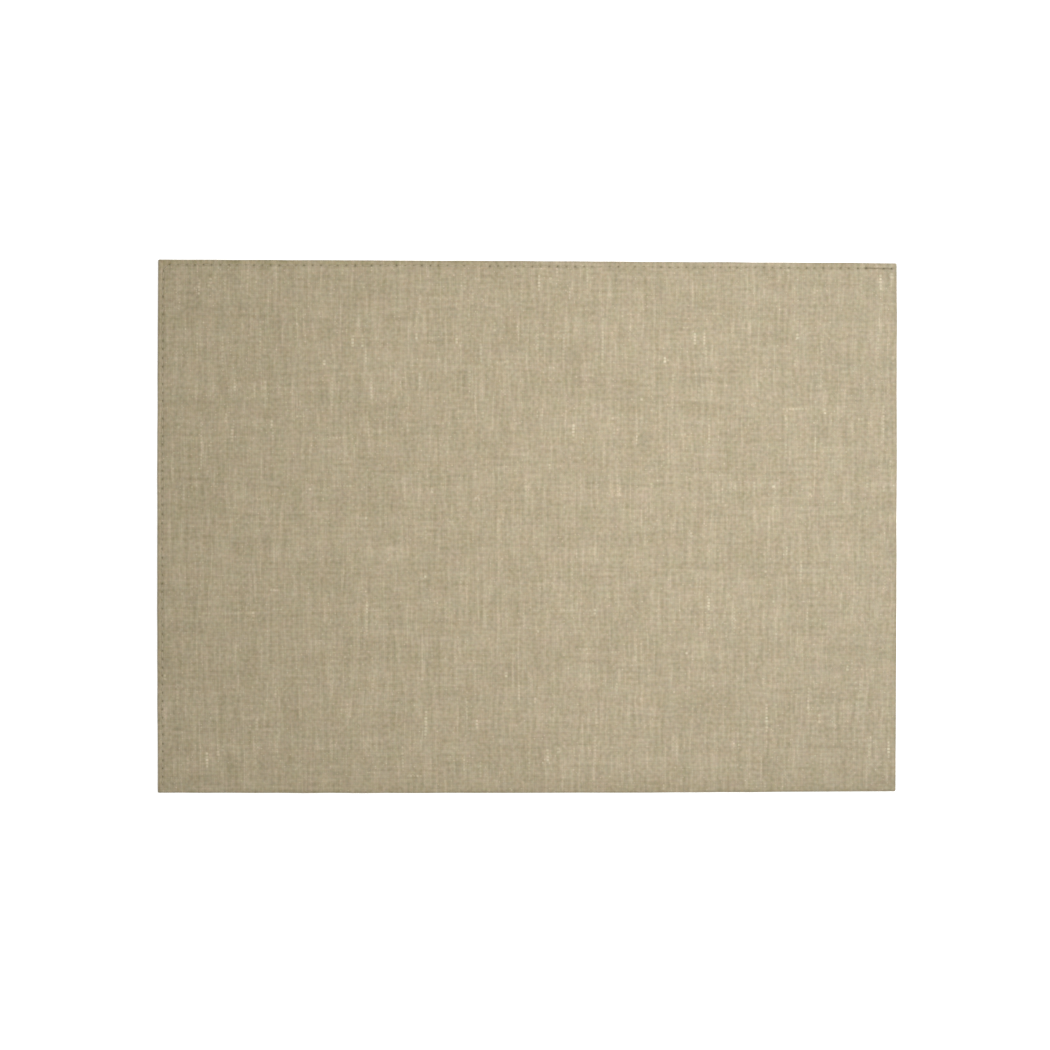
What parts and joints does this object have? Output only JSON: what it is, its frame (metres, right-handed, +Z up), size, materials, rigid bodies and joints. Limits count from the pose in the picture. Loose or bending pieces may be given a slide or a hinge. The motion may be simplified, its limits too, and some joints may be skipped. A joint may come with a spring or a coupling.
{
  "type": "fabric placemat",
  "caption": "Flat rectangular placemat of doubled linen cloth, soft rounded edges, edge-stitched along its left and far sides.",
  "frame": {"origin": "middle of the mat's extent, on its underside", "axes": "+X to the right along the long sides, +Y from the near side to the far side, +Z up out of the face that shows"},
  "size_m": [0.46, 0.3316, 0.0018],
  "materials": {
    "linen": "matte plain-woven linen, natural beige with lighter slubs"
  },
  "bodies": {
    "root": {"linen_mat": "linen"}
  },
  "joints": []
}
